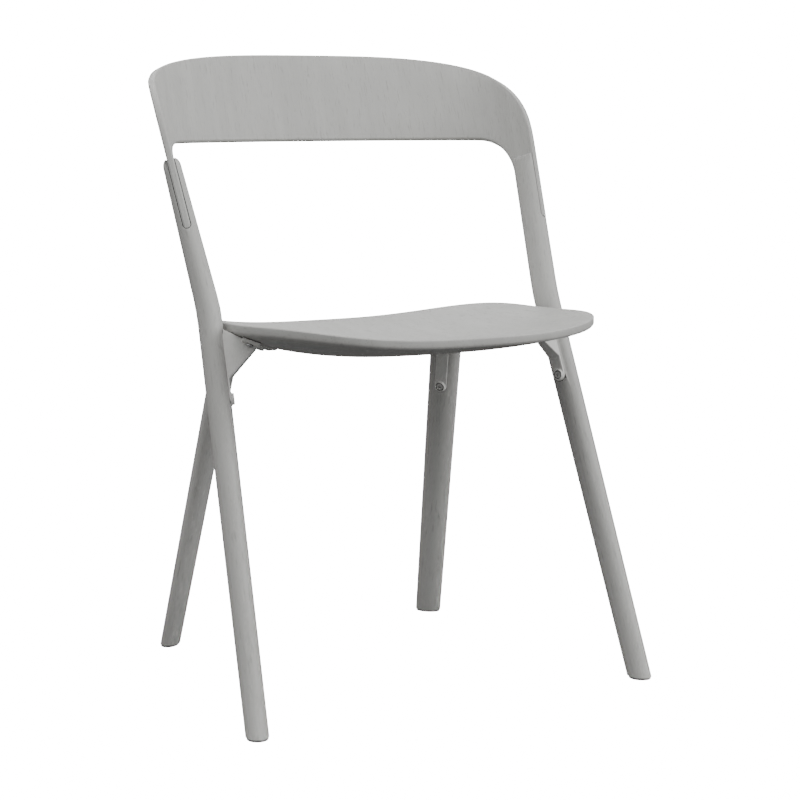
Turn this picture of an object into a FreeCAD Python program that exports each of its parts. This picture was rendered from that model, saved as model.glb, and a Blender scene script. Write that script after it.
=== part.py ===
import FreeCAD, Part
import math
import os

os.makedirs("parts", exist_ok=True)

# Stacking side chair. Millimetres, +Z up, +X to the sitter's left, +Y to the back.
# Y is counted from the centre of the front feet; every piece is moved at the end so that
# the origin lies on the floor, under the middle of the chair. Right-hand (+X) pieces are
# built and mirrored, because the chair is symmetrical about the plane X = 0.

Vector = FreeCAD.Vector

seat_low = 430.0            # top face of the seat at the bottom of its dish

# Front uprights: one solid-wood member from the floor to the back
front_foot_out = 47.0       # the front feet stand this far outside the seat's side edge
lean_in_low = 0.057         # inward travel for each unit of height, below the bend
lean_back_low = 0.400       # backward travel for each unit of height, below the bend
bend_height = seat_low + 53.0   # the bend lies just over the seat's edge
bend_run = 15.0             # half height of the curve through the bend
lean_out_high = 0.080       # outward travel for each unit of height, above the bend
lean_back_high = 0.444
upright_top = 661.5
upright_toe_in = 22.0       # turn of the oval section, long axis towards the rear centre
upright_foot = (31.5, 28.0)     # oval at the floor: long and short width
upright_bend = (35.5, 30.5)     # oval at the bend
upright_tip = (36.0, 22.5)      # oval at the top

# Rear legs: straight tapering ovals
rear_foot_in = 21.0         # the rear feet stand this far inside the seat's side edge
foot_rear_y = 440.0
rear_lean_in = 0.089
rear_lean_front = 0.283
rear_toe_in = 42.0
rear_foot_long = 36.5       # long width of the oval at the floor
rear_top_long = 43.8        # and at rear_top_height
rear_flatness = 0.69        # short width as a share of the long one
rear_top_height = 445.0

# Seat shell: moulded ply, dished
seat_ply = 11.0
seat_edge_break = 2.0       # chamfer round both rims
seat_half_width = 223.0
seat_half_depth = 224.0
seat_mid_y = 171.5          # middle of the seat, back from the front feet
seat_front_power = 3.4      # squareness of the outline in front
seat_rear_power = 2.8       # and behind
seat_pitch = -0.046         # fall towards the back
seat_long_rise = 21.7       # rise of the front and rear ends over the bottom
seat_side_rise = 38.9       # rise of the side edges over the centre line
seat_side_power = 2.96
seat_side_gain = 0.137      # the sides rise more towards the back

# Back shell: moulded ply band with two downward arms
back_ply = 9.0
back_edge_break = 1.8       # chamfer round both rims
back_centre_y = 375.7       # mid surface on the centre line at height upright_top
back_centre_lean = 0.333
arm_straight = 44.0         # flat length of each arm, seen from above
bow_flat = 0.753            # share of the half width that the centre runs straight
bow_turn = 0.253            # pull of the turn between arm and centre
bow_level = 36.6            # over the band's lower edge, where the length of the bow is measured
arm_width = 38.0
arm_proud = 1.5             # arm's front edge stands proud of the upright
arm_corner = 45.0           # radius inside the arch
tongue_end = upright_top - 78.5     # lowest point of the tongue
band_bottom = upright_top + 21.9
band_height = 113.1
band_top = band_bottom + band_height
band_shoulder = band_bottom + 3.2   # height where the front edge starts to turn into the top edge
band_power_along = 3.16
band_power_up = 2.84

# Bridle joint between upright and back
glue_gap = 0.1              # each side of the tongue
cheek_slope = 18.0          # fall of the cheeks' top towards the back, degrees

# Brackets: painted castings
front_bolt_height = seat_low - 52.0
rear_bolt_height = seat_low - 80.0
tab_width = 17.0
tab_thick = 4.5
tab_inset = 4.0             # depth of the groove in the leg, at the middle of the oval
tab_side_gap = 0.15
paint_gap = 0.1             # between casting and leg
seat_gap = 0.3              # between the flange's arched top and the seat
boss_radius = 7.2
boss_height = 3.5
flange_thick = 5.0
flange_reach = 66.0         # from the leg's axis to the flange's far end
flange_half = 26.0          # half width of the flange
flange_corner = 12.0        # radius of its corners
front_flange_start = 12.0   # near end of the flange, from the leg's axis
rear_flange_start = -20.0   # the rear flange also caps the leg
front_flange_height = seat_low + 25.0   # where the legs' axes pass the flanges
rear_flange_height = seat_low + 6.0
web_radius = 30.0           # concave curve of the web, seen from the side
flare_radius = 46.0         # concave curve of the web, seen from the front

# Fasteners
bolt_shank = 3.0            # radii
bolt_head = 5.0
bolt_head_height = 4.0
washer_thick = 1.0
counterbore = 5.7
counterbore_depth = 5.0
leg_insert_radius = 5.0
leg_insert_length = 12.0
seat_screw_shank = 2.5
seat_screw_head = 4.75
seat_screw_head_height = 2.8
seat_insert_radius = 3.75
seat_insert_length = 7.5
seat_insert_recess = 0.5    # the inserts sit a little under the seat's lower face
screw_inward = 53.0         # from the leg's axis to the pair of seat screws
screw_sideways = 14.0       # each screw to its side of the flange's middle
screw_room = 1.0            # round each screw head in its recess
hole_gap = 0.25             # round a screw or bolt in its clearance hole
fastener_sides = 8          # flats that stand for a hidden fastener and its hole
head_sides = 16             # flats round a leg bolt's head

# Foot glides
glide_thick = 3.0
glide_sides = 24            # flats round the thin pad
glide_inset = 1.0
pin_radius = 1.4
pin_length = 14.0
pin_head = 3.2
pin_head_height = 1.0
pin_recess = 0.5            # depth of the pin's head in the glide

overrun = 60.0              # cutting shapes run past the piece by this much
lap = 1.0                   # solids that are joined or cut reach this far into each other


def unit(v):
    return v * (1.0 / v.Length)


def mix(a, b, t):
    return a + (b - a) * t


def mirrored(shape):
    return shape.mirror(Vector(0, 0, 0), Vector(1, 0, 0))


def cylinder(base, direction, radius, length):
    return Part.makeCylinder(radius, length, base, direction)


def centred_block(frame, low, high):
    """Box from corner low to corner high, in the axes of a placement."""
    block = Part.makeBox(high[0] - low[0], high[1] - low[1], high[2] - low[2], Vector(*low))
    block.Placement = frame.multiply(block.Placement)
    return block


# Leg members

def toe_direction(angle):
    a = math.radians(angle)
    return Vector(-math.sin(a), math.cos(a), 0)


def oval_wire(centre, long_radius, short_radius):
    """Closed oval of four arcs, on two radii given as vectors."""
    edges = []
    for k in range(4):
        middle = math.pi / 2 * k
        arc = Part.ArcOfCircle(Part.Circle(), middle - math.pi / 4, middle + math.pi / 4).toBSpline()
        poles = [centre + long_radius * p.x + short_radius * p.y for p in arc.getPoles()]
        curve = Part.BSplineCurve()
        curve.buildFromPolesMultsKnots(poles, arc.getMultiplicities(), arc.getKnots(), False,
                                       arc.Degree, arc.getWeights())
        edges.append(curve.toShape())
    return Part.Wire(edges)


def leg_section(centre, along, toe, widths, normal):
    """Oval of a leg, cut by the plane through centre that is square to normal."""
    n = unit(along)
    major = toe_direction(toe)
    major = unit(major - n * major.dot(n))
    radii = []
    for direction, width in ((major, widths[0]), (n.cross(major), widths[1])):
        radius = direction * (width / 2.0)
        radii.append(radius - n * (radius.dot(normal) / n.dot(normal)))
    return oval_wire(centre, radii[0], radii[1])


level = Vector(0, 0, 1)
foot_front_x = seat_half_width + front_foot_out
foot_rear_x = seat_half_width - rear_foot_in
low_run = Vector(-lean_in_low, lean_back_low, 1.0)
high_run = Vector(lean_out_high, lean_back_high, 1.0)
front_foot = Vector(foot_front_x, 0, 0)
bend_point = front_foot + low_run * bend_height


def upright_axis(z):
    """Centre line of the upright, with a short curve through the bend."""
    if z <= bend_height - bend_run:
        return front_foot + low_run * z
    if z >= bend_height + bend_run:
        return bend_point + high_run * (z - bend_height)
    t = (z - bend_height + bend_run) / (2.0 * bend_run)
    below = bend_point - low_run * bend_run
    above = bend_point + high_run * bend_run
    return below * ((1 - t) ** 2) + bend_point * (2 * t * (1 - t)) + above * (t * t)


def upright_widths(z):
    if z <= bend_height:
        t = z / bend_height
        return [mix(upright_foot[i], upright_bend[i], t) for i in (0, 1)]
    t = (z - bend_height) / (upright_top - bend_height)
    return [mix(upright_bend[i], upright_tip[i], t) for i in (0, 1)]


def upright_section(z, normal=None):
    along = upright_axis(z + 1.0) - upright_axis(z - 1.0)
    return leg_section(upright_axis(z), along, upright_toe_in, upright_widths(z), normal or unit(along))


def upright_body():
    """The plain upright; it is cut to length later by its cheeks."""
    heights = [front_bolt_height - 1.2 * tab_width]
    heights += [bend_height - bend_run, bend_height, bend_height + bend_run]
    heights += [tongue_end - upright_tip[1] / 2.0, upright_top - 0.75 * upright_tip[1],
                upright_top + upright_tip[1] / 2.0]
    wires = [upright_section(glide_thick, level)]
    wires += [upright_section(z) for z in heights]
    return Part.makeLoft(wires, True, True)


rear_run = Vector(-rear_lean_in, -rear_lean_front, 1.0)
rear_foot_point = Vector(foot_rear_x, foot_rear_y, 0)


def rear_axis(z):
    return rear_foot_point + rear_run * z


def rear_widths(z):
    long_width = mix(rear_foot_long, rear_top_long, z / rear_top_height)
    return [long_width, long_width * rear_flatness]


def rear_section(z, normal=None):
    return leg_section(rear_axis(z), rear_run, rear_toe_in, rear_widths(z), normal or unit(rear_run))


# Seat shell

def seat_height(x, y):
    """Top face of the dish."""
    v = (y - seat_mid_y) / seat_half_depth
    side = (abs(x) / seat_half_width) ** seat_side_power
    return (seat_low + seat_pitch * (y - seat_mid_y) + seat_long_rise * v * v
            + seat_side_rise * side * (1 + seat_side_gain * v))


def seat_normal(x, y):
    step = 0.5
    dx = (seat_height(x + step, y) - seat_height(x - step, y)) / (2 * step)
    dy = (seat_height(x, y + step) - seat_height(x, y - step)) / (2 * step)
    return unit(Vector(-dx, -dy, 1.0))


def seat_point(x, y, depth):
    """Point at a depth under the top face, square to it."""
    return Vector(x, y, seat_height(x, y)) - seat_normal(x, y) * depth


def seat_sheet(depth):
    """Smooth sheet at a depth under the top face, a tenth larger than the seat."""
    half_x = seat_half_width * 1.1
    half_y = seat_half_depth * 1.1
    across, along = 20, 14
    rows = []
    for j in range(along + 1):
        y = seat_mid_y - half_y + 2 * half_y * j / along
        row = []
        for i in range(across + 1):
            x = -half_x + 2 * half_x * i / across
            row.append(seat_point(x, y, depth))
        rows.append(row)
    sheet = Part.BSplineSurface()
    sheet.interpolate(rows)
    return sheet.toShape()


def layer_between(upper, lower):
    """Solid between two sheets with the same outline."""
    faces = [upper, lower]
    for i in range(4):
        faces.append(Part.makeRuledSurface(upper.Edges[i], lower.Edges[i]))
    shell = Part.makeShell(faces)
    shell.sewShape()
    solid = Part.makeSolid(shell)
    if solid.Volume < 0:
        solid.reverse()
    return solid


def seat_outline(z):
    """Closed smooth outline at a height, squarer in front than behind."""
    points = []
    count = 40
    for k in range(count):
        a = 2 * math.pi * k / count
        power = seat_front_power if math.sin(a) < 0 else seat_rear_power
        s = math.copysign(abs(math.sin(a)) ** (2 / power), math.sin(a))
        c = math.copysign(abs(math.cos(a)) ** (2 / power), math.cos(a))
        points.append(Vector(seat_half_width * c, seat_mid_y + seat_half_depth * s, z))
    curve = Part.BSplineCurve()
    curve.interpolate(points, PeriodicFlag=True)
    return Part.Wire([curve.toShape()])


def seat_shell_blank():
    slab = layer_between(seat_sheet(0.0), seat_sheet(seat_ply))
    outline = Part.makeLoft([seat_outline(0.0), seat_outline(2 * seat_low)], True, True)
    blank = slab.common(outline).Solids[0]
    rims = [e for e in blank.Edges if e.Length > 2 * seat_half_width]
    return blank.makeChamfer(seat_edge_break, rims)


# Back shell

def plan_controls(z):
    """Front edge of the arm and the four control points of the bow, seen from above."""
    axis = bend_point + high_run * (z - bend_height)
    blade = toe_direction(upright_toe_in)
    half_depth = upright_tip[0] / 2.0 + arm_proud
    front = Vector(axis.x, axis.y, z) - blade * half_depth
    start = front + blade * arm_straight
    centre_y = back_centre_y + back_centre_lean * (z - upright_top)
    fall = centre_y - start.y
    turn = start + blade * (bow_turn * fall / math.cos(math.radians(upright_toe_in)))
    return front, start, turn, Vector(bow_flat * start.x, centre_y, z), Vector(0, centre_y, z)


def bow_point(controls, t):
    p0, p1, p2, p3 = controls[1:]
    return (p0 * (1 - t) ** 3 + p1 * (3 * t * (1 - t) ** 2)
            + p2 * (3 * t * t * (1 - t)) + p3 * t ** 3)


bow_steps = 200
bow_middle = plan_controls(band_bottom + bow_level)
bow_length = [0.0]
for k in range(bow_steps):
    step = bow_point(bow_middle, (k + 1.0) / bow_steps) - bow_point(bow_middle, k / float(bow_steps))
    bow_length.append(bow_length[-1] + step.Length)
half_length = arm_straight + bow_length[-1]     # from the arm's front edge to the centre line


def back_mid(s, z):
    """Middle of the ply: s runs along the sheet from the front edge, z is the height."""
    controls = plan_controls(z)
    if s <= arm_straight:
        return controls[0] + (controls[1] - controls[0]) * (s / arm_straight)
    run = s - arm_straight
    if run > bow_length[-1]:
        mate = back_mid(2 * half_length - s, z)
        return Vector(-mate.x, mate.y, mate.z)
    k = max(i for i in range(bow_steps) if bow_length[i] <= run)
    t = (k + (run - bow_length[k]) / (bow_length[k + 1] - bow_length[k])) / bow_steps
    return bow_point(controls, t)


def back_normal(s, z):
    """Square to the sheet, away from the sitter."""
    a = back_mid(s + 1.0, z) - back_mid(s - 1.0, z) if s >= 1.0 else back_mid(2.0, z) - back_mid(0.0, z)
    b = back_mid(s, z + 1.0) - back_mid(s, z - 1.0)
    return unit(a.cross(b))


def outer_excess(s, z):
    """Below zero inside the band's outer edge."""
    rise = max(z - band_shoulder, 0.0) / (band_top - band_shoulder)
    return abs((half_length - s) / half_length) ** band_power_along + rise ** band_power_up - 1.0


half_ply = back_ply / 2.0
tongue_round = half_ply + 0.3       # rounded end of the tongue, just short of a half circle
corner_s = arm_width + arm_corner
corner_z = band_bottom - arm_corner


def ray_to_outer(angle):
    """Where a line from the arch's corner centre meets the outer edge."""
    near, far = 0.0, half_length + band_top - corner_z
    for _ in range(60):
        r = (near + far) / 2.0
        if outer_excess(corner_s - r * math.cos(angle), corner_z + r * math.sin(angle)) < 0:
            near = r
        else:
            far = r
    return corner_s - near * math.cos(angle), corner_z + near * math.sin(angle)


def cross_lines():
    """Lines across the band, (outer point, inner point), from the tongue's end to the centre."""
    arm_steps, corner_steps, centre_steps = 3, 10, 12
    lines = []
    for k in range(arm_steps):
        z = mix(tongue_end - half_ply, corner_z, k / float(arm_steps))
        lines.append(((0.0, z), (arm_width, z)))
    for k in range(corner_steps + 1):
        angle = math.pi / 2 * k / corner_steps
        inner = (corner_s - arm_corner * math.cos(angle), corner_z + arm_corner * math.sin(angle))
        lines.append((ray_to_outer(angle), inner))
    for k in range(1, centre_steps + 1):
        s = mix(corner_s, half_length, k / float(centre_steps))
        rise = (1 - ((half_length - s) / half_length) ** band_power_along) ** (1 / band_power_up)
        outer = (s, mix(band_shoulder, band_top, rise))
        lines.append((outer, (s, band_bottom)))
    return lines


def spline_face(poles):
    """Smooth face on a net of control points, held at its four edges."""
    count_u = len(poles)
    count_v = len(poles[0])
    knots_u = [float(k) for k in range(count_u - 2)]
    knots_v = [float(k) for k in range(count_v - 2)]
    mults_u = [4] + [1] * (count_u - 4) + [4]
    mults_v = [4] + [1] * (count_v - 4) + [4]
    face = Part.BSplineSurface()
    face.buildFromPolesMultsKnots(poles, mults_u, mults_v, knots_u, knots_v, False, False, 3, 3)
    return face.toShape()


def back_section(outer, inner):
    """Net rows of one cross line: front face and rear face."""
    steps = 3
    front = []
    rear = []
    for k in range(steps + 1):
        s = mix(outer[0], inner[0], k / float(steps))
        z = mix(outer[1], inner[1], k / float(steps))
        point = back_mid(s, z)
        across = back_normal(s, z) * half_ply
        front.append(point - across)
        rear.append(point + across)
    return front, rear


def blade_frame():
    """Axes at the tongue's rounded end: X along the blade, Y up in its plane, Z square to it."""
    blade = toe_direction(upright_toe_in)
    across = unit(blade.cross(high_run))
    up = across.cross(blade)
    end = back_mid(0.0, tongue_end)
    return FreeCAD.Placement(end + up * tongue_round, FreeCAD.Rotation(blade, up, across, "ZXY"))


def along_blade(radius, start, end):
    """Cylinder along the blade, about the centre of the tongue's rounded end."""
    frame = blade_frame()
    direction = frame.Rotation.multVec(Vector(1, 0, 0))
    return cylinder(frame.multVec(Vector(start, 0, 0)), direction, radius, end - start)


def back_shell_solid():
    lines = cross_lines()
    right = [back_section(*line) for line in lines]
    left = []
    for section in reversed(right[:-1]):
        left.append([[Vector(-p.x, p.y, p.z) for p in row] for row in section])
    sections = right + left
    front = spline_face([section[0] for section in sections])
    rear = spline_face([section[1] for section in sections])
    solid = layer_between(front, rear)
    rims = [e for e in solid.Edges if e.Length > half_length]
    solid = solid.makeChamfer(back_edge_break, rims)
    far = arm_width + back_ply
    beyond = centred_block(blade_frame(), (-back_ply, -2 * back_ply, -back_ply), (far, 0, back_ply))
    beyond = beyond.cut(along_blade(tongue_round, -2 * back_ply, far + back_ply))
    return solid.cut(beyond).cut(mirrored(beyond))


# Places on the legs and under the seat

def tab_frame(height, axis_line, run, toe):
    """Axes at a leg bolt: origin on the leg's centre line, Y up the leg, Z inwards."""
    along = unit(run)
    major = toe_direction(toe)
    major = unit(major - along * major.dot(along))
    inward = along.cross(major)
    return FreeCAD.Placement(axis_line(height), FreeCAD.Rotation(along.cross(inward), along, inward, "ZXY"))


def flange_frame(tab, start, axis_line, height):
    """Axes of a flange: origin on its top face, in the middle, Y inwards, Z up into the seat."""
    inward = tab.Rotation.multVec(Vector(0, 0, 1))
    inward = unit(Vector(inward.x, inward.y, 0))
    leg = axis_line(height)
    middle = leg + inward * ((start + flange_reach) / 2.0)
    up = seat_normal(middle.x, middle.y)
    across = unit(inward.cross(up))
    return FreeCAD.Placement(seat_point(middle.x, middle.y, seat_ply + seat_gap),
                             FreeCAD.Rotation(across, up.cross(across), up, "ZXY"))


front_tab = tab_frame(front_bolt_height, upright_axis, low_run, upright_toe_in)
rear_tab = tab_frame(rear_bolt_height, rear_axis, rear_run, rear_toe_in)
front_flange = flange_frame(front_tab, front_flange_start, upright_axis, front_flange_height)
rear_flange = flange_frame(rear_tab, rear_flange_start, rear_axis, rear_flange_height)
front_half = upright_widths(front_bolt_height)[1] / 2.0
rear_half = rear_widths(rear_bolt_height)[1] / 2.0


def outline_prism(frame, edges, z_low, z_high):
    """Solid on a closed outline drawn in a frame's XY plane."""
    face = Part.Face(Part.Wire(Part.__sortEdges__(edges)))
    solid = face.extrude(Vector(0, 0, z_high - z_low))
    solid.translate(Vector(0, 0, z_low))
    solid.Placement = frame.multiply(solid.Placement)
    return solid


def round_ended(half, y_low, y_high):
    """Outline along Y with both ends round; y_low and y_high are the end centres."""
    a, b = Vector(-half, y_low, 0), Vector(half, y_low, 0)
    c, d = Vector(half, y_high, 0), Vector(-half, y_high, 0)
    return [Part.Arc(a, Vector(0, y_low - half, 0), b).toShape(), Part.makeLine(b, c),
            Part.Arc(c, Vector(0, y_high + half, 0), d).toShape(), Part.makeLine(d, a)]


def round_cornered(half_x, half_y, radius):
    """Rectangle about the origin with round corners."""
    in_x = half_x - radius
    in_y = half_y - radius
    bow = radius * math.sqrt(0.5)
    edges = []
    for x, y in ((1, 1), (-1, 1), (-1, -1), (1, -1)):
        start = Vector(x * half_x, y * in_y, 0)
        end = Vector(x * in_x, y * half_y, 0)
        middle = Vector(x * (in_x + bow), y * (in_y + bow), 0)
        edges.append(Part.Arc(start, middle, end).toShape())
    for sign in (-1, 1):
        edges.append(Part.makeLine(Vector(sign * half_x, -in_y, 0), Vector(sign * half_x, in_y, 0)))
        edges.append(Part.makeLine(Vector(-in_x, sign * half_y, 0), Vector(in_x, sign * half_y, 0)))
    return edges


def local_cylinder(frame, x, y, radius, z_low, z_high):
    direction = frame.Rotation.multVec(Vector(0, 0, 1))
    return cylinder(frame.multVec(Vector(x, y, z_low)), direction, radius, z_high - z_low)


def rod(frame, x, y, radius, z_low, z_high, sides=fastener_sides):
    """Prism that stands for a round fastener, or for its hole."""
    corners = []
    for k in range(sides + 1):
        a = 2 * math.pi * k / sides
        corners.append(Vector(x + radius * math.cos(a), y + radius * math.sin(a), z_low))
    prism = Part.Face(Part.makePolygon(corners)).extrude(Vector(0, 0, z_high - z_low))
    prism.Placement = frame.multiply(prism.Placement)
    return prism


def height_under(tab, flange, z):
    """Distance up the leg, at depth z, to the flange's lower face."""
    up = flange.Rotation.multVec(Vector(0, 0, 1))
    face = flange.multVec(Vector(0, 0, -flange_thick))
    along = tab.Rotation.multVec(Vector(0, 1, 0))
    return (face - tab.multVec(Vector(0, 0, z))).dot(up) / along.dot(up)


def groove(tab, half, rise):
    """Milled seat for the tab, and the threaded insert's hole under it."""
    floor = half - tab_inset
    outline = round_ended(tab_width / 2.0 + tab_side_gap, 0.0, rise)
    pocket = outline_prism(tab, outline, floor, floor + overrun)
    hole = rod(tab, 0, 0, leg_insert_radius, floor - leg_insert_length, floor + lap)
    return pocket.fuse(hole)


front_rise = height_under(front_tab, front_flange, front_half) - tab_inset
rear_rise = height_under(rear_tab, rear_flange, rear_half) + tab_width


# Front uprights and rear legs

def slot_tool():
    """Slot for the tongue, open to the front, top and rear, with a rounded bottom."""
    half = half_ply + glue_gap
    near = -overrun
    far = arm_width + 2 * overrun
    top = upright_top - tongue_end + overrun
    walls = centred_block(blade_frame(), (near, 0, -half), (far, top, half))
    bottom = along_blade(tongue_round + glue_gap, near, far)
    bottom = bottom.common(centred_block(blade_frame(), (near, -back_ply, -half), (far, back_ply, half)))
    return walls.fuse(bottom).removeSplitter()


def cheek_tool():
    """What is cut away over the cheeks: their tops are quarter rounds, falling to the rear."""
    blade = toe_direction(upright_toe_in)
    across = unit(blade.cross(high_run))
    tilt = FreeCAD.Rotation(across, -cheek_slope)
    along = tilt.multVec(blade)
    up = across.cross(along)
    frame = FreeCAD.Placement(upright_axis(upright_top), FreeCAD.Rotation(along, up, across, "ZXY"))
    half = upright_tip[1] / 2.0
    radius = half - half_ply - glue_gap
    block = centred_block(frame, (-overrun, -radius, -overrun), (overrun, overrun, overrun))
    keep = centred_block(frame, (-overrun, -radius - lap, radius - half), (overrun, 0, half - radius))
    for side in (-1, 1):
        base = frame.multVec(Vector(-overrun, -radius, side * (half - radius)))
        keep = keep.fuse(cylinder(base, along, radius, 2 * overrun))
    return block.cut(keep)


def foot_frame(foot):
    return FreeCAD.Placement(foot, FreeCAD.Rotation())


def pin_hole(foot):
    return rod(foot_frame(foot), 0, 0, pin_radius, 0.0, pin_recess + pin_head_height + pin_length)


def front_upright():
    solid = upright_body().cut(cheek_tool()).cut(slot_tool())
    return solid.cut(groove(front_tab, front_half, front_rise)).cut(pin_hole(front_foot))


def rear_body():
    """The plain rear leg, cut off flat under the bracket's flange."""
    top = rear_flange.multVec(Vector(0, 0, -flange_thick - paint_gap))
    up = rear_flange.Rotation.multVec(Vector(0, 0, 1))
    top_height = (top - rear_foot_point).dot(up) / rear_run.dot(up)
    below_groove = rear_bolt_height - 0.9 * tab_width
    wires = [rear_section(glide_thick, level), rear_section(below_groove / 2.0),
             rear_section(below_groove), rear_section(top_height, up)]
    return Part.makeLoft(wires, True, True)


def rear_leg():
    return rear_body().cut(groove(rear_tab, rear_half, rear_rise)).cut(pin_hole(rear_foot_point))


# Brackets

def web(tab, flange, half):
    """Gusset: concave seen from the side, and flared seen from the front."""
    face = half - tab_inset + tab_thick
    near = Vector(face, height_under(tab, flange, face), 0)
    far = Vector(face + web_radius, height_under(tab, flange, face + web_radius), 0)
    line = unit(far - near)
    tangent = web_radius / math.tan(math.acos(-line.y) / 2.0)
    low = near - Vector(0, tangent, 0)
    end = near + line * tangent
    centre = low + Vector(web_radius, 0, 0)
    middle = centre + unit(near - centre) * web_radius
    top = near.y + overrun
    corners = [end, Vector(end.x, top, 0), Vector(0, top, 0), Vector(0, low.y, 0), low]
    edges = [Part.makeLine(corners[k], corners[k + 1]) for k in range(4)]
    edges.append(Part.Arc(low, middle, end).toShape())
    quarter_turn = FreeCAD.Placement(Vector(0, 0, 0), FreeCAD.Rotation(Vector(0, 1, 0), -90))
    side = outline_prism(tab.multiply(quarter_turn), edges, -overrun, overrun)

    half_tab = tab_width / 2.0
    turn = math.acos(1 - (flange_half - half_tab) / flare_radius)
    rise = flare_radius * math.sin(turn)
    start = near.y - rise
    edges = [Part.makeLine(Vector(-half_tab, 0, 0), Vector(half_tab, 0, 0)),
             Part.makeLine(Vector(-flange_half, top, 0), Vector(flange_half, top, 0))]
    for sign in (-1, 1):
        low = Vector(sign * half_tab, start, 0)
        high = Vector(sign * flange_half, start + rise, 0)
        middle = Vector(sign * (half_tab + flare_radius * (1 - math.cos(turn / 2))),
                        start + flare_radius * math.sin(turn / 2), 0)
        edges.append(Part.makeLine(Vector(sign * half_tab, 0, 0), low))
        edges.append(Part.Arc(low, middle, high).toShape())
        edges.append(Part.makeLine(high, Vector(sign * flange_half, top, 0)))
    return side.common(outline_prism(tab, edges, 0.0, 2 * overrun))


def saddle(tab, widths):
    """Round bar along the leg that hugs the oval's broad side; the bracket is hollowed by it."""
    half_long = widths[0] / 2.0
    half_short = widths[1] / 2.0
    radius = half_long ** 2 / half_short
    along = tab.Rotation.multVec(Vector(0, 1, 0))
    base = tab.multVec(Vector(0, -overrun, half_short + paint_gap - radius))
    return cylinder(base, along, radius, 4 * overrun)


def seat_space(flange):
    """Space over a flange: a round bar whose lower side is curved like the seat across the chair."""
    up = flange.Rotation.multVec(Vector(0, 0, 1))
    across = unit(Vector(1, 0, 0) - up * up.x)
    frame = FreeCAD.Placement(flange.Base, FreeCAD.Rotation(across, up.cross(across), up, "ZXY"))
    points = []
    for x in (-flange_reach / 2.0, 0.0, flange_reach / 2.0):
        p = frame.multVec(Vector(x, 0, 0))
        local = frame.inverse().multVec(seat_point(p.x, p.y, seat_ply + seat_gap))
        points.append(Vector(local.x, 0, local.z))
    arch = Part.Arc(*points).toShape().Curve
    run = frame.Rotation.multVec(Vector(0, 1, 0))
    return cylinder(frame.multVec(arch.Center) - run * overrun, run, arch.Radius, 2 * overrun)


def screw_sites(start):
    """Places of the seat screws on the flange's top face, in the flange's axes."""
    inward = screw_inward - (start + flange_reach) / 2.0
    return [(side * screw_sideways, inward) for side in (-1, 1)]


def bracket(tab, flange, half, rise, hollow, start):
    floor = half - tab_inset
    face = floor + tab_thick
    reach = (flange_reach - start) / 2.0
    outline = round_cornered(flange_half, reach, flange_corner)
    plate = outline_prism(flange, outline, -flange_thick, flange_thick).cut(seat_space(flange))
    if start > 0:
        plate = plate.cut(hollow)
    under = outline_prism(flange, outline, -2 * overrun, lap - flange_thick)
    body = web(tab, flange, half).common(under).cut(hollow)
    above = centred_block(flange, (-overrun, -overrun, lap - flange_thick), (overrun, overrun, overrun))
    strip = outline_prism(tab, round_ended(tab_width / 2.0, 0.0, rise), floor + paint_gap, face).cut(above)
    boss = local_cylinder(tab, 0, 0, boss_radius, face - lap, face + boss_height)
    body = body.fuse([plate, strip, boss])
    top = face + boss_height
    body = body.cut(rod(tab, 0, 0, bolt_shank + hole_gap, floor - lap, top + lap))
    body = body.cut(local_cylinder(tab, 0, 0, counterbore, top - counterbore_depth, top + overrun))
    for x, y in screw_sites(start):
        body = body.cut(rod(flange, x, y, seat_screw_shank + hole_gap, -2 * flange_thick, 2 * flange_thick))
        body = body.cut(rod(flange, x, y, seat_screw_head + screw_room, -overrun, -flange_thick))
    return body.removeSplitter()


# Fasteners

def sleeve(frame, x, y, outer, inner, z_low, z_high):
    return rod(frame, x, y, outer, z_low, z_high).cut(rod(frame, x, y, inner, z_low, z_high))


def leg_bolt(tab, half):
    floor = half - tab_inset
    seat = floor + tab_thick + boss_height - counterbore_depth + washer_thick
    shank = rod(tab, 0, 0, bolt_shank, floor - leg_insert_length + lap, seat + lap)
    return shank.fuse(rod(tab, 0, 0, bolt_head, seat, seat + bolt_head_height, head_sides))


def bolt_washer(tab, half):
    base = half - tab_inset + tab_thick + boss_height - counterbore_depth
    return sleeve(tab, 0, 0, bolt_head + hole_gap, bolt_shank + hole_gap, base, base + washer_thick)


def leg_insert(tab, half):
    floor = half - tab_inset
    return sleeve(tab, 0, 0, leg_insert_radius, bolt_shank, floor - leg_insert_length, floor)


def insert_base(flange, x, y):
    """Height, in the flange's axes, of an insert's lower end over a screw's place."""
    p = flange.multVec(Vector(x, y, 0))
    low = seat_point(p.x, p.y, seat_ply)
    return (low - p).dot(flange.Rotation.multVec(Vector(0, 0, 1))) + seat_insert_recess


def seat_screw(flange, x, y):
    """Screw up through the flange; its head lies under it."""
    end = insert_base(flange, x, y) + seat_insert_length - lap
    head = rod(flange, x, y, seat_screw_head, -flange_thick - seat_screw_head_height, -flange_thick)
    return head.fuse(rod(flange, x, y, seat_screw_shank, -flange_thick - lap, end))


def seat_insert(flange, x, y):
    base = insert_base(flange, x, y)
    return sleeve(flange, x, y, seat_insert_radius, seat_screw_shank, base, base + seat_insert_length)


def insert_hole(flange, x, y):
    """The hole runs from the seat's lower face to the insert's top."""
    base = insert_base(flange, x, y)
    return rod(flange, x, y, seat_insert_radius, base - seat_ply / 2.0, base + seat_insert_length)


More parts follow.
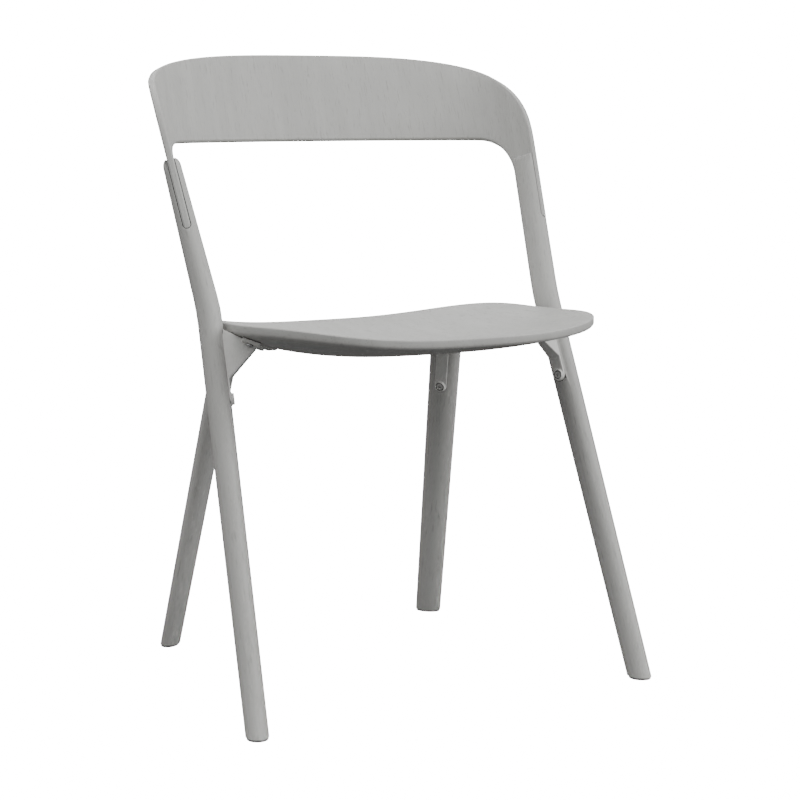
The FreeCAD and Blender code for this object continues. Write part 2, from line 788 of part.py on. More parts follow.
def glide(foot, toe, widths):
    """Thin pad under a foot, with a recess for its pin's head."""
    major = toe_direction(toe)
    minor = level.cross(major)
    corners = []
    for k in range(glide_sides + 1):
        a = 2 * math.pi * k / glide_sides
        corners.append(foot + major * ((widths[0] / 2.0 - glide_inset) * math.cos(a))
                       + minor * ((widths[1] / 2.0 - glide_inset) * math.sin(a)))
    pad = Part.Face(Part.makePolygon(corners)).extrude(Vector(0, 0, glide_thick))
    pad = pad.cut(rod(foot_frame(foot), 0, 0, pin_head, -lap, pin_recess + pin_head_height))
    return pad.cut(rod(foot_frame(foot), 0, 0, pin_radius, 0.0, glide_thick + lap))


def glide_pin(foot):
    frame = foot_frame(foot)
    top = pin_recess + pin_head_height
    head = rod(frame, 0, 0, pin_head, pin_recess, top)
    return head.fuse(rod(frame, 0, 0, pin_radius, pin_recess, top + pin_length))


# Assembly

sites = [(front_flange, x, y) for x, y in screw_sites(front_flange_start)]
sites += [(rear_flange, x, y) for x, y in screw_sites(rear_flange_start)]

seat_shell = seat_shell_blank()
for site in sites:
    hole = insert_hole(*site)
    seat_shell = seat_shell.cut(hole).cut(mirrored(hole))

front_hollow = saddle(front_tab, upright_widths(front_flange_height))
rear_hollow = saddle(rear_tab, rear_widths(rear_flange_height))

right_nodes = {
    "front_upright": front_upright(),
    "rear_leg": rear_leg(),
    "front_bracket": bracket(front_tab, front_flange, front_half, front_rise, front_hollow,
                             front_flange_start),
    "rear_bracket": bracket(rear_tab, rear_flange, rear_half, rear_rise, rear_hollow,
                            rear_flange_start),
    "front_glide": glide(front_foot, upright_toe_in, upright_widths(0.0)),
    "rear_glide": glide(rear_foot_point, rear_toe_in, rear_widths(0.0)),
}

right_groups = {
    "leg_bolts": [leg_bolt(front_tab, front_half), leg_bolt(rear_tab, rear_half)],
    "bolt_washers": [bolt_washer(front_tab, front_half), bolt_washer(rear_tab, rear_half)],
    "leg_inserts": [leg_insert(front_tab, front_half), leg_insert(rear_tab, rear_half)],
    "seat_screws": [seat_screw(*site) for site in sites],
    "seat_inserts": [seat_insert(*site) for site in sites],
    "glide_pins": [glide_pin(front_foot), glide_pin(rear_foot_point)],
}

nodes = {"seat_shell": seat_shell, "back_shell": back_shell_solid()}
for name, solid in right_nodes.items():
    nodes[name + "_right"] = solid
    nodes[name + "_left"] = mirrored(solid)
for name, solids in right_groups.items():
    nodes[name] = Part.makeCompound(solids + [mirrored(solid) for solid in solids])

# the origin goes under the middle of the chair
lowest_y = min(shape.optimalBoundingBox(False).YMin for shape in nodes.values())
highest_y = max(shape.optimalBoundingBox(False).YMax for shape in nodes.values())
for name, shape in nodes.items():
    shape.translate(Vector(0, -(lowest_y + highest_y) / 2.0, 0))
    shape.exportStep("parts/" + name + ".step")
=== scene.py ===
import math

import bpy
from mathutils import Matrix, Vector


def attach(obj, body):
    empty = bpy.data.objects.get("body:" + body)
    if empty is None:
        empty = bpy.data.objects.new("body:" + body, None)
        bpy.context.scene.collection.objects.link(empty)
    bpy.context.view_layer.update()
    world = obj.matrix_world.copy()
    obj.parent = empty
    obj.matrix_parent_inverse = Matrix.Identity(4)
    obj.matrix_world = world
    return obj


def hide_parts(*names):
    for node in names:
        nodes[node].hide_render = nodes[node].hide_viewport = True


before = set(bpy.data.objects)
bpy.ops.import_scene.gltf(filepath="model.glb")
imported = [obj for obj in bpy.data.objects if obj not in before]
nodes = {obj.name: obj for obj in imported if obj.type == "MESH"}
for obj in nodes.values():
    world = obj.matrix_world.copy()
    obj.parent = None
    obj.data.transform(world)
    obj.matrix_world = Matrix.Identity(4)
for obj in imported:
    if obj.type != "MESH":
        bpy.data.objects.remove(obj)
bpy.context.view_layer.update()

# A painted stacking chair. It faces -Y, its right-hand side is +X, and the row frame has its
# origin on the floor under the middle of the chair.

# Grain of the wooden members: travel outwards (x) and rearwards (y) for each unit of height.
# The uprights bend at bend_height, in metres.
bend_height = 0.483
upright_low = (-0.057, 0.400)
upright_high = (0.080, 0.444)
rear_run = (-0.089, -0.283)
back_lean = (0.0, 0.40)
grain_stretch = 0.10        # scale of the noise along the grain, where across it is 1
hand_shift = 3.7            # so that the right-hand member's grain isn't the left one's mirror

# Shades of the paint, as shares of its own colour
pore_shade = 0.80
band_shades = (0.965, 1.05)
cloud_shade = 0.97
cast_shade = 0.94

# Scale of the noises: those of the grain as shares of the pores' scale
fibre_scale = 2.7
band_scale = 0.11
cloud_scale = 9.0
cast_cloud_scale = 60.0


# Materials

def blank_material(name):
    """A material with an empty surface, its node tree and the socket that takes the surface."""
    material = bpy.data.materials.new(name)
    material.use_nodes = True
    tree = material.node_tree
    tree.nodes.clear()
    return material, tree, tree.nodes.new("ShaderNodeOutputMaterial").inputs["Surface"]


def new_material(name):
    material, tree, surface = blank_material(name)
    shader = tree.nodes.new("ShaderNodeBsdfPrincipled")
    tree.links.new(shader.outputs["BSDF"], surface)
    return material, tree, shader


def object_place(tree):
    return tree.nodes.new("ShaderNodeTexCoord").outputs["Object"]


def shaded(colour, share):
    return tuple(min(channel * share, 1.0) for channel in colour)


def math_node(tree, operation, first, second=None):
    node = tree.nodes.new("ShaderNodeMath")
    node.operation = operation
    for socket, value in zip(node.inputs, (first, second)):
        if value is None:
            continue
        if isinstance(value, (int, float)):
            socket.default_value = value
        else:
            tree.links.new(value, socket)
    return node.outputs[0]


def noise(tree, vector, scale, detail=2.0, roughness=0.5):
    node = tree.nodes.new("ShaderNodeTexNoise")
    node.inputs["Scale"].default_value = scale
    node.inputs["Detail"].default_value = detail
    node.inputs["Roughness"].default_value = roughness
    tree.links.new(vector, node.inputs["Vector"])
    return node.outputs["Fac"]


def ramp(tree, value, low, high):
    """Grey that runs between two stops, each a position and a tone."""
    node = tree.nodes.new("ShaderNodeValToRGB")
    for element, (position, tone) in zip(node.color_ramp.elements, (low, high)):
        element.position = position
        element.color = (tone, tone, tone, 1.0)
    tree.links.new(value, node.inputs["Fac"])
    return node.outputs["Color"]


def mix_colour(tree, factor, first, second, blend="MIX"):
    node = tree.nodes.new("ShaderNodeMix")
    node.data_type = "RGBA"
    node.blend_type = blend
    sockets = node.inputs["Factor"], node.inputs[6], node.inputs[7]
    for socket, value in zip(sockets, (factor, first, second)):
        if isinstance(value, tuple):
            socket.default_value = (*value, 1.0)
        else:
            tree.links.new(value, socket)
    return node.outputs[2]


def vary_roughness(tree, shader, value, low, high):
    """Lets the roughness run from low to high as the value runs from 0 to 1."""
    scale = tree.nodes.new("ShaderNodeMapRange")
    scale.inputs["To Min"].default_value = low
    scale.inputs["To Max"].default_value = high
    tree.links.new(value, scale.inputs["Value"])
    tree.links.new(scale.outputs[0], shader.inputs["Roughness"])


def add_bump(tree, shader, height, strength, depth):
    bump = tree.nodes.new("ShaderNodeBump")
    bump.inputs["Strength"].default_value = strength
    bump.inputs["Distance"].default_value = depth
    tree.links.new(height, bump.inputs["Height"])
    tree.links.new(bump.outputs["Normal"], shader.inputs["Normal"])


def member_grain(tree, where, run_low, run_high):
    """Coordinates that hardly change along a member, so that noise draws out into grain."""
    parts = tree.nodes.new("ShaderNodeSeparateXYZ")
    tree.links.new(where, parts.inputs[0])
    x, y, z = parts.outputs
    low = math_node(tree, "MINIMUM", z, bend_height)
    high = math_node(tree, "MAXIMUM", math_node(tree, "SUBTRACT", z, bend_height), 0.0)
    joined = tree.nodes.new("ShaderNodeCombineXYZ")
    for axis, value in enumerate((math_node(tree, "ABSOLUTE", x), y)):
        travel = math_node(tree, "ADD", math_node(tree, "MULTIPLY", low, run_low[axis]),
                           math_node(tree, "MULTIPLY", high, run_high[axis]))
        tree.links.new(math_node(tree, "SUBTRACT", value, travel), joined.inputs[axis])
    hand = math_node(tree, "MULTIPLY", math_node(tree, "GREATER_THAN", x, 0.0), hand_shift)
    along = math_node(tree, "ADD", math_node(tree, "MULTIPLY", z, grain_stretch), hand)
    tree.links.new(along, joined.inputs[2])
    return joined.outputs[0]


def level_grain(tree, where):
    """Coordinates for a level sheet whose grain runs from its front edge to its rear edge."""
    drawn = tree.nodes.new("ShaderNodeMapping")
    drawn.inputs["Scale"].default_value = (1.0, grain_stretch, 1.0)
    tree.links.new(where, drawn.inputs["Vector"])
    return drawn.outputs[0]


def painted_seam_shade(tree, colour, reach=0.0025, shade=0.34):
    """Painted shade: darkens the paint inside narrow seams and corners, where shadow falls."""
    near = tree.nodes.new("ShaderNodeAmbientOcclusion")
    near.samples = 8
    near.inputs["Distance"].default_value = reach
    mask = ramp(tree, near.outputs["AO"], (0.25, 1.0), (0.75, 0.0))
    return mix_colour(tree, mask, colour, (shade, shade, shade), "MULTIPLY")


def painted_wood(name, colour, runs=None, grain_scale=420.0):
    """Satin paint over open-grained ash: fine pores and a slight change of tone along the grain."""
    material, tree, shader = new_material(name)
    where = object_place(tree)
    grain = member_grain(tree, where, *runs) if runs else level_grain(tree, where)
    pores = noise(tree, grain, grain_scale, detail=4.0, roughness=0.62)
    fibres = noise(tree, grain, grain_scale * fibre_scale)
    bands = noise(tree, grain, grain_scale * band_scale)
    clouds = noise(tree, where, cloud_scale)
    band_low, band_high = (shaded(colour, shade) for shade in band_shades)
    tone = mix_colour(tree, ramp(tree, bands, (0.35, 0.0), (0.65, 1.0)), band_low, band_high)
    cloud_mask = ramp(tree, clouds, (0.3, 0.0), (0.7, 0.35))
    tone = mix_colour(tree, cloud_mask, tone, shaded(colour, cloud_shade))
    between_pores = ramp(tree, pores, (0.30, 0.0), (0.44, 1.0))
    painted = mix_colour(tree, between_pores, shaded(colour, pore_shade), tone)
    # painted shade: the base colour is darkened in seams and corners
    tree.links.new(painted_seam_shade(tree, painted), shader.inputs["Base Color"])
    vary_roughness(tree, shader, pores, low=0.56, high=0.42)
    height = math_node(tree, "ADD", math_node(tree, "MULTIPLY", between_pores, 0.8),
                       math_node(tree, "MULTIPLY", fibres, 0.35))
    add_bump(tree, shader, height, strength=0.55, depth=0.00012)
    shader.inputs["Specular IOR Level"].default_value = 0.42
    return material


def coated_metal(name, colour, rough, metallic=0.0, grain_scale=2600.0, depth=0.00005):
    """Cast or turned piece: a fine skin in the bump, and a slight change of tone."""
    material, tree, shader = new_material(name)
    where = object_place(tree)
    skin = noise(tree, where, grain_scale, roughness=0.6)
    clouds = noise(tree, where, cast_cloud_scale)
    cloud_mask = ramp(tree, clouds, (0.35, 0.0), (0.65, 1.0))
    tone = mix_colour(tree, cloud_mask, shaded(colour, cast_shade), colour)
    # painted shade: the base colour is darkened in seams and corners
    tree.links.new(painted_seam_shade(tree, tone), shader.inputs["Base Color"])
    vary_roughness(tree, shader, clouds, low=rough - 0.06, high=rough + 0.08)
    add_bump(tree, shader, skin, strength=0.4, depth=depth)
    shader.inputs["Metallic"].default_value = metallic
    return material


paint = (0.470, 0.472, 0.455)
sheet_grain = 520.0         # the veneer's grain is finer than that of the solid wood

upright_paint = painted_wood("upright_paint", paint, (upright_low, upright_high))
leg_paint = painted_wood("leg_paint", paint, (rear_run, rear_run))
back_paint = painted_wood("back_paint", paint, (back_lean, back_lean), sheet_grain)
seat_paint = painted_wood("seat_paint", paint, grain_scale=sheet_grain)
casting_paint = coated_metal("casting_paint", shaded(paint, 1.55), rough=0.46)
bolt_paint = coated_metal("bolt_paint", shaded(paint, 1.35), rough=0.4)
zinc = coated_metal("zinc_plate", (0.55, 0.56, 0.57), rough=0.32, metallic=1.0)
brass = coated_metal("turned_brass", (0.62, 0.46, 0.2), rough=0.35, metallic=1.0)
nylon = coated_metal("dark_nylon", (0.2, 0.2, 0.2), rough=0.6, grain_scale=900.0, depth=0.0001)

finish_of = {
    "seat_shell": seat_paint,
    "back_shell": back_paint,
    "front_upright": upright_paint,
    "rear_leg": leg_paint,
    "front_bracket": casting_paint,
    "rear_bracket": casting_paint,
    "leg_bolts": bolt_paint,
    "bolt_washers": zinc,
    "leg_inserts": brass,
    "seat_screws": zinc,
    "seat_inserts": brass,
    "front_glide": nylon,
    "rear_glide": nylon,
    "glide_pins": zinc,
}


def without_hand(name):
    return name.replace("_left", "").replace("_right", "")


for name, node in nodes.items():
    for slot in node.material_slots:
        slot.material = finish_of[without_hand(name)]


# Places on the right-hand (+X) side, in millimetres, in the row frame

def metres(millimetres):
    return tuple(value / 1000.0 for value in millimetres)


def place(origin, across, up, out):
    """Matrix of a place: its origin in millimetres and its three axes."""
    matrix = Matrix((across, up, out)).transposed().to_4x4()
    matrix.translation = Vector(origin) / 1000.0
    return matrix


def lifted(matrix, x, y, z):
    return matrix @ Matrix.Translation(Vector((x, y, z)) / 1000.0)


# leg bolts: X across the leg, Y up the leg, Z towards the middle of the chair
front_bolt = place((248.454, -50.342, 378.0), (0.38151, -0.85055, 0.36197),
                   (-0.05285, 0.37087, 0.92718), (-0.92285, -0.37286, 0.09654))
rear_bolt = place((170.85, 139.408, 350.0), (0.68869, -0.7114, -0.14003),
                  (-0.08532, -0.27131, 0.9587), (-0.72001, -0.6483, -0.24755))
# flanges under the seat: Z up into the seat
front_flange = place((212.531, -34.463, 451.424), (-0.3676, 0.90984, -0.19252),
                     (-0.83502, -0.41405, -0.36236), (-0.4094, 0.02756, 0.91194))
rear_flange = place((148.768, 100.48, 432.368), (-0.66522, 0.73881, -0.10791),
                    (-0.70843, -0.67019, -0.2213), (-0.23582, -0.07076, 0.96922))
front_screws = (-14.0, 14.0), (14.0, 14.0)
rear_screws = (-14.0, 30.0), (14.0, 30.0)
other_side = Matrix.Scale(-1.0, 4, Vector((1, 0, 0)))

# Sizes of the brackets, in millimetres
tab_groove = 4.0                    # depth of the groove in the leg that holds the tab
front_face = 14.978 - tab_groove    # the groove's floor, out from the leg's centre line
rear_face = 14.573 - tab_groove
tab_thick = 4.5
tab_half = 8.5
boss_high = 3.5
counterbore_deep = 5.0
washer_thick = 1.0
flange_thick = 5.0


# Tools of the bench

def pick(piece):
    bpy.ops.object.select_all(action="DESELECT")
    piece.select_set(True)
    bpy.context.view_layer.objects.active = piece


def finish_with(piece, kind, **settings):
    """Adds a modifier and applies it."""
    pick(piece)
    modifier = piece.modifiers.new(kind.lower(), kind)
    for key, value in settings.items():
        setattr(modifier, key, value)
    bpy.ops.object.modifier_apply(modifier=modifier.name)


def work_on(piece, operator, **settings):
    """Runs a mesh operator on the whole of a piece."""
    pick(piece)
    bpy.ops.object.mode_set(mode="EDIT")
    bpy.ops.mesh.select_all(action="SELECT")
    operator(**settings)
    bpy.ops.object.mode_set(mode="OBJECT")


def settle(piece, matrix):
    """Puts a piece in its place and leaves its object at the origin."""
    pick(piece)
    piece.matrix_world = matrix @ piece.matrix_world
    bpy.ops.object.transform_apply(location=True, rotation=True, scale=True)
    work_on(piece, bpy.ops.mesh.normals_make_consistent, inside=False)


def trim(piece, point, away):
    """Cuts a closed piece along a plane and drops what lies on its far side."""
    work_on(piece, bpy.ops.mesh.bisect, plane_co=point, plane_no=away, use_fill=True,
            clear_outer=True)


def combine(piece, tool, operation="DIFFERENCE"):
    """Cuts a tool out of a piece, or joins it on with UNION, and throws the tool away."""
    finish_with(piece, "BOOLEAN", operation=operation, object=tool, solver="EXACT")
    bpy.data.objects.remove(tool)


def block(matrix, size, middle):
    """Block of a size in millimetres about its middle, at a place."""
    bpy.ops.object.select_all(action="DESELECT")
    bpy.ops.mesh.primitive_cube_add(size=1.0, location=metres(middle))
    piece = bpy.context.active_object
    piece.scale = metres(size)
    bpy.context.view_layer.update()
    settle(piece, matrix)
    return piece


def side_block(matrix, side, inner, size, y, z):
    """Block on one side, with its inner face that many millimetres from the middle."""
    return block(matrix, size, (side * (inner + size[0] / 2.0), y, z))


def round_rims(piece, corner, segments=3):
    finish_with(piece, "BEVEL", width=corner / 1000.0, segments=segments, limit_method="ANGLE",
                angle_limit=math.radians(50))


def turned(name, radius, low, high, sides=48, corner=0.0, segments=3):
    """Round piece about its own Z, between two heights in millimetres, with both rims rounded."""
    bpy.ops.object.select_all(action="DESELECT")
    bpy.ops.mesh.primitive_cylinder_add(vertices=sides, radius=radius / 1000.0,
                                        depth=(high - low) / 1000.0,
                                        location=(0, 0, (low + high) / 2000.0))
    piece = bpy.context.active_object
    piece.name = name
    bpy.ops.object.transform_apply(location=True, rotation=True, scale=True)
    if corner:
        round_rims(piece, corner, segments)
    return piece


def bore(piece, radius, low, high, sides=48):
    combine(piece, turned("tool", radius, low, high, sides))


def smooth(piece, angle=40):
    pick(piece)
    bpy.ops.object.shade_smooth_by_angle(angle=math.radians(angle))
    return piece


def twin(piece, name):
    copy = bpy.data.objects.new(name, piece.data.copy())
    bpy.context.scene.collection.objects.link(copy)
    return copy


def join(pieces, name):
    bpy.ops.object.select_all(action="DESELECT")
    for piece in pieces:
        piece.select_set(True)
    bpy.context.view_layer.objects.active = pieces[0]
    bpy.ops.object.join()
    pieces[0].name = name
    return pieces[0]


def merged_copy(node_name, name):
    """A copy of a CAD node's mesh with its loose triangles sewn together."""
    piece = twin(nodes[node_name], name)
    piece.data.materials.clear()
    work_on(piece, bpy.ops.mesh.remove_doubles, threshold=0.000001)
    return piece


def finished(piece, material, replaced):
    """Paints a piece, puts it on the root body and hides the CAD node whose place it takes."""
    piece.data.materials.clear()
    piece.data.materials.append(material)
    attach(piece, "root")
    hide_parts(replaced)


# Brackets: the web is no wider than the tab, and every corner is cast round

web_taper = 7.0                     # how fast each side of the web draws in, in degrees
web_foot = 15.5                     # where it starts to, out from the leg's centre line
web_headroom = 0.3                  # left uncut under the flange
front_shoulder = 3.0                # how far in the front flange opens to its full width
flange_half = 20.5                  # half width of the front flange before its shoulder
fin_wide = 16.8
fin_overlap = 1.0                   # how far it goes into the flange
fin_edge = (0.0, 26.9, 18.9)        # a point of the front web's slanting edge, from the bolt
fin_away = (0.0, -0.7243, 0.6894)   # the edge faces this way
casting_voxel = 0.0008              # grid of the cast surface, in metres


def web_cutter(side, bolt, point, away):
    """Block beside the web and larger than it, cleared on the far side of a plane."""
    foot = Matrix.Translation(metres((side * tab_half, 0.0, web_foot)))
    lean = Matrix.Rotation(math.radians(-side * web_taper), 4, "Y")
    cutter = side_block(bolt @ foot @ lean @ foot.inverted(), side, tab_half,
                        size=(40.0, 190.0, 94.0), y=55.0, z=34.0)
    trim(cutter, point, away)
    return cutter


def flange_cutter(side, flange):
    """Block that trims one side of the flange."""
    return side_block(flange, side, flange_half, size=(20.0, 90.0, 20.0), y=0.0, z=2.0)


def web_fin(bolt, flange):
    """Fin that fills the corner of the front tab and its flange, up to a straight edge."""
    fin = block(bolt, size=(fin_wide, 80.0, 38.0), middle=(0.0, 55.0, 33.0))
    up = flange.to_3x3() @ Vector((0, 0, 1))
    trim(fin, flange.translation - up * (flange_thick - fin_overlap) / 1000.0, up)
    trim(fin, bolt @ Vector(metres(fin_edge)), bolt.to_3x3() @ Vector(fin_away))
    return fin


def cast_bracket(node_name, name, bolt, flange, shoulder):
    """The CAD bracket with a tapered web. With a shoulder, its web is filled and its flange cut."""
    piece = merged_copy(node_name, name)
    up = flange.to_3x3() @ Vector((0, 0, 1))
    inward = flange.to_3x3() @ Vector((0, 1, 0))
    under = flange.translation - up * (flange_thick + web_headroom) / 1000.0
    if shoulder is not None:
        combine(piece, web_fin(bolt, flange), "UNION")
    for side in (-1, 1):
        combine(piece, web_cutter(side, bolt, under, up))
        if shoulder is not None:
            outside = flange.translation + inward * shoulder / 1000.0
            combine(piece, web_cutter(side, bolt, outside, inward))
            combine(piece, flange_cutter(side, flange))
    finish_with(piece, "REMESH", mode="VOXEL", voxel_size=casting_voxel, use_smooth_shade=True)
    finish_with(piece, "SMOOTH", factor=0.5, iterations=5)
    return piece


for end, bolt, flange, shoulder in (("front", front_bolt, front_flange, front_shoulder),
                                    ("rear", rear_bolt, rear_flange, None)):
    right_node, left_node = end + "_bracket_right", end + "_bracket_left"
    casting = cast_bracket(right_node, right_node + "_casting", bolt, flange, shoulder)
    finished(casting, casting_paint, right_node)
    left_casting = twin(casting, left_node + "_casting")
    settle(left_casting, other_side)
    finished(left_casting, casting_paint, left_node)


# Bolts, screws and glides, in millimetres

socket_deep = 0.62                  # share of a head's height


def socket_screw(name, shank, head, head_high, key, start, end, crown):
    """Screw whose head rises from height 0 and whose shank runs down from start to end."""
    cap = turned(name + "_cap", head, 0.0, head_high, corner=crown, segments=4)
    bore(cap, key / math.sqrt(3.0), head_high * (1.0 - socket_deep), head_high + 1.0, sides=6)
    stem = turned(name + "_stem", shank, end, start, sides=32, corner=0.4)
    return smooth(join([cap, stem], name))


def set_in(pattern, name, matrices):
    """One piece of a pattern at each place, and its mirror image across the chair."""
    made = []
    for matrix in matrices:
        for side in (Matrix.Identity(4), other_side):
            copy = twin(pattern, name)
            settle(copy, side @ matrix)
            made.append(copy)
    bpy.data.objects.remove(pattern)
    return join(made, name)


bolt_seats = []
washer_seats = []
for bolt, face in ((front_bolt, front_face), (rear_bolt, rear_face)):
    bottom = face + tab_thick + boss_high - counterbore_deep
    washer_seats.append(lifted(bolt, 0, 0, bottom))
    bolt_seats.append(lifted(bolt, 0, 0, bottom + washer_thick))
leg_bolt = socket_screw("leg_bolt", shank=3.0, head=4.9, head_high=2.9, key=4.0, start=0.5,
                        end=-14.0, crown=0.9)
finished(set_in(leg_bolt, "leg_bolts_turned", bolt_seats), bolt_paint,
         "leg_bolts")

washer = turned("washer", radius=5.2, low=0.0, high=washer_thick, corner=0.2, segments=2)
bore(washer, radius=3.2, low=-1.0, high=washer_thick + 1.0)
finished(set_in(smooth(washer), "bolt_washers_turned", washer_seats), zinc,
         "bolt_washers")

screw_seats = []
turn_over = Matrix.Rotation(math.pi, 4, "X")
for flange, spots in ((front_flange, front_screws), (rear_flange, rear_screws)):
    for x, y in spots:
        screw_seats.append(lifted(flange, x, y, -flange_thick) @ turn_over)
seat_screw = socket_screw("seat_screw", shank=2.45, head=4.7, head_high=2.7, key=3.0, start=0.5,
                          end=-12.5, crown=1.1)
finished(set_in(seat_screw, "seat_screws_turned", screw_seats), zinc,
         "seat_screws")

# each foot's place on the right, how far it is turned in degrees, and its oval's two sizes
feet = (("front", (270.0, -201.542), 22.0, (31.5, 28.0)),
        ("rear", (202.0, 238.458), 42.0, (36.5, 25.185)))
glide_inset = 1.0
glide_high = 2.95
pad_radius = 10.0                   # of the round pad before it is drawn out into the oval
pin_places = []
for end, (x, y), toe, sizes in feet:
    long, short = ((size / 2.0 - glide_inset) / pad_radius for size in sizes)
    pad = turned("pad", pad_radius, low=0.0, high=glide_high, sides=64)
    settle(pad, Matrix.Diagonal((long, short, 1.0, 1.0)))
    round_rims(pad, corner=0.7)
    bore(pad, radius=3.3, low=-1.0, high=1.5, sides=32)
    smooth(pad)
    pin_place = Matrix.Translation(Vector((x, y, 0)) / 1000.0)
    pin_places.append(pin_place)
    foot = pin_place @ Matrix.Rotation(math.radians(90.0 + toe), 4, "Z")
    left_pad = twin(pad, end + "_glide_left_pad")
    pad.name = end + "_glide_right_pad"
    settle(pad, foot)
    settle(left_pad, other_side @ foot)
    finished(pad, nylon, end + "_glide_right")
    finished(left_pad, nylon, end + "_glide_left")

pin_head = turned("pin_head", radius=3.15, low=0.5, high=1.45, sides=32, corner=0.25)
pin_stem = turned("pin_stem", radius=1.35, low=1.0, high=15.0, sides=16)
pin = smooth(join([pin_head, pin_stem], "pin"))
finished(set_in(pin, "glide_pins_turned", pin_places), zinc, "glide_pins")


# Uprights: a fine shadow gap runs round the tongue where the paint has not bridged the joint

# the tongue's rounded end, its thickness across and its axes, in millimetres
tongue_end = (258.8145, 18.3984, 587.6669)
tongue_half = 4.5
tongue_round = 4.8
across_blade = (0.9014794, 0.3642213, -0.2338326)
blade_axes = ((-0.3746066, 0.9271839, 0.0), (0.2168058, 0.0875952, 0.9722769), across_blade)

# the bar that the slot is cut in; its faces lie this far from the tongue's end, square to it
bar_axes = ((-0.42666, 0.83883, -0.33831), (0.07293, 0.40474, 0.91158), across_blade)
bar_front = 4.3
bar_back = 37.0
shadow_gap = 0.8
shadow_deep = 3.0


def seam_walls():
    """The tongue's two sides, thickened by the gap and drawn out past the bar."""
    return block(place(tongue_end, *blade_axes), middle=(15.0, 50.0, 0.0),
                 size=(120.0, 100.0, 2.0 * (tongue_half + shadow_gap)))


def seam_bottom():
    """The tongue's rounded lower edge, thickened by the gap and drawn out past the bar."""
    bottom = turned("seam_bottom", tongue_round + shadow_gap, low=-45.0, high=75.0, sides=40)
    settle(bottom, place(tongue_end, blade_axes[1], blade_axes[2], blade_axes[0]))
    return bottom


upright = merged_copy("front_upright_right", "front_upright_right_joined")
bar = place(tongue_end, *bar_axes)
bar_out = bar.to_3x3() @ Vector((1, 0, 0))
for make in (seam_walls, seam_bottom):
    for depth, away in ((bar_front + shadow_deep, bar_out), (bar_back - shadow_deep, -bar_out)):
        seam = make()
        trim(seam, bar @ Vector((depth / 1000.0, 0, 0)), away)
        combine(upright, seam)
work_on(upright, bpy.ops.mesh.remove_doubles, threshold=0.00002)
work_on(upright, bpy.ops.mesh.dissolve_degenerate, threshold=0.00001)
smooth(upright, 28)
left_upright = twin(upright, "front_upright_left_joined")
settle(left_upright, other_side)
finished(upright, upright_paint, "front_upright_right")
finished(left_upright, upright_paint, "front_upright_left")


# The other wooden parts keep their CAD shape, with their cut edges eased by this much, in metres

eased = {"rear_leg": 0.0006, "back_shell": 0.0009, "seat_shell": 0.0004}
for name, node in nodes.items():
    width = eased.get(without_hand(name))
    if width:
        sew = node.modifiers.new("sew", "WELD")
        sew.merge_threshold = 0.000002
        ease = node.modifiers.new("ease", "BEVEL")
        ease.width = width
        ease.segments = 2
        ease.limit_method = "ANGLE"
        ease.angle_limit = math.radians(28)


# Floor, light and camera, in metres

paper_glow = 18.0                   # how bright the white paper and the wall look to the camera
wall_light = 0.68                   # what the wall throws on the chair
paper_fibre_scale = 35.0


def seen_only_by_camera(tree):
    """1 for what the camera sees directly, 0 for the light that bounces."""
    return tree.nodes.new("ShaderNodeLightPath").outputs["Is Camera Ray"]


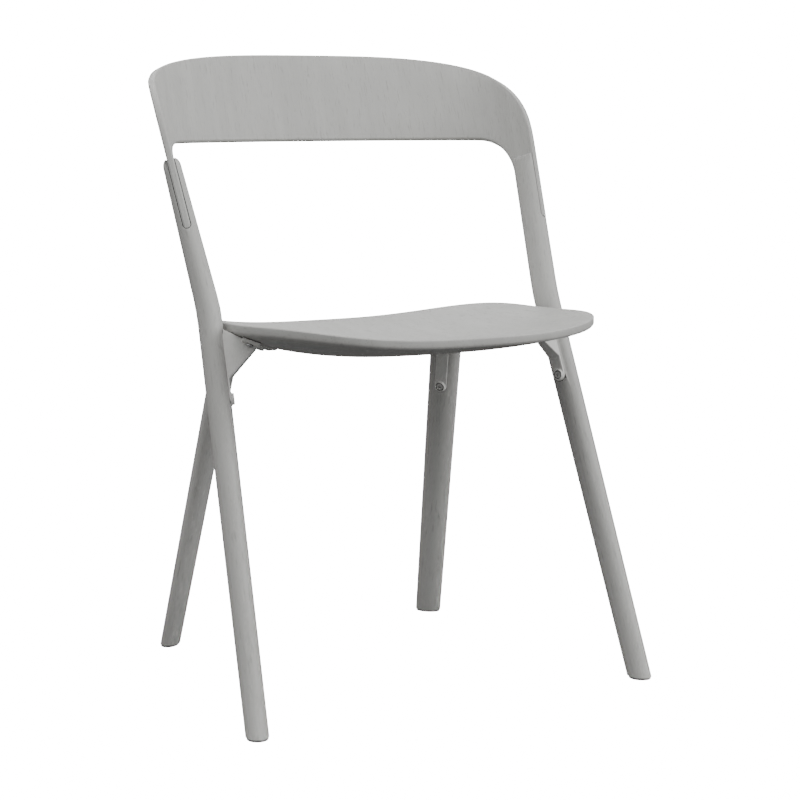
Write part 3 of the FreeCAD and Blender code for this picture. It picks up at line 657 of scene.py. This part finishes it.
def floor_material():
    """White studio paper: bright to look at, but it throws little light up under the seat."""
    material, tree, surface = blank_material("floor_paper")
    fibre = noise(tree, object_place(tree), paper_fibre_scale, detail=3.0)
    matt = tree.nodes.new("ShaderNodeBsdfDiffuse")
    tree.links.new(ramp(tree, fibre, (0.3, 0.105), (0.7, 0.115)), matt.inputs["Color"])
    bright = tree.nodes.new("ShaderNodeBsdfDiffuse")
    bright.inputs["Color"].default_value = (0.9, 0.9, 0.9, 1.0)
    glow = tree.nodes.new("ShaderNodeEmission")
    glow.inputs["Strength"].default_value = paper_glow - 1.0
    lit = tree.nodes.new("ShaderNodeAddShader")
    tree.links.new(bright.outputs[0], lit.inputs[0])
    tree.links.new(glow.outputs[0], lit.inputs[1])
    choose = tree.nodes.new("ShaderNodeMixShader")
    tree.links.new(seen_only_by_camera(tree), choose.inputs[0])
    tree.links.new(matt.outputs[0], choose.inputs[1])
    tree.links.new(lit.outputs[0], choose.inputs[2])
    tree.links.new(choose.outputs[0], surface)
    return material


bpy.ops.mesh.primitive_plane_add(size=40.0, location=(0, 0, 0))
floor = bpy.context.active_object
floor.name = "floor"
floor.data.materials.append(floor_material())


def area_light(name, spot, size, power, target=(0, 0, 0.45), spread=180.0):
    """Round light that faces the seat, or its own target; spread is in degrees."""
    data = bpy.data.lights.new(name, "AREA")
    data.spread = math.radians(spread)
    data.shape = "DISK"
    data.size = size
    data.energy = power
    light = bpy.data.objects.new(name, data)
    bpy.context.scene.collection.objects.link(light)
    light.location = spot
    light.rotation_euler = (Vector(target) - Vector(spot)).to_track_quat("-Z", "Y").to_euler()


area_light("front_right", (2.4, -2.4, 1.5), size=1.6, power=68.0)
area_light("low_front", (-1.0, -2.9, 0.20), size=0.5, power=0.42, target=(0, 0, -0.22), spread=20.0)
area_light("overhead", (0, 0, 3.2), size=2.6, power=42.0)
area_light("high_back", (0.6, 2.2, 2.7), size=1.6, power=25.0)
area_light("high_left", (-2.2, 0, 2.9), size=1.6, power=15.0)

world = bpy.data.worlds.new("studio")
bpy.context.scene.world = world
world.use_nodes = True
studio = world.node_tree
wall = studio.nodes["Background"]
wall.inputs["Color"].default_value = (1, 1, 1, 1)
wall_tone = studio.nodes.new("ShaderNodeMix")
wall_tone.inputs["A"].default_value = wall_light
wall_tone.inputs["B"].default_value = paper_glow
studio.links.new(seen_only_by_camera(studio), wall_tone.inputs["Factor"])
studio.links.new(wall_tone.outputs["Result"], wall.inputs["Strength"])

# fitted to the photo: how far the camera looks down and how far it is turned, in degrees
look_down = 8.300
look_aside = 28.324
camera_data = bpy.data.cameras.new("camera")
camera_data.sensor_width = 36.0
camera_data.lens = 92.01
camera = bpy.data.objects.new("camera", camera_data)
bpy.context.scene.collection.objects.link(camera)
camera.location = (-1.2161, -2.30674, 0.7353)
camera.rotation_euler = (math.radians(90.0 - look_down), 0.0, math.radians(-look_aside))
bpy.context.scene.camera = camera
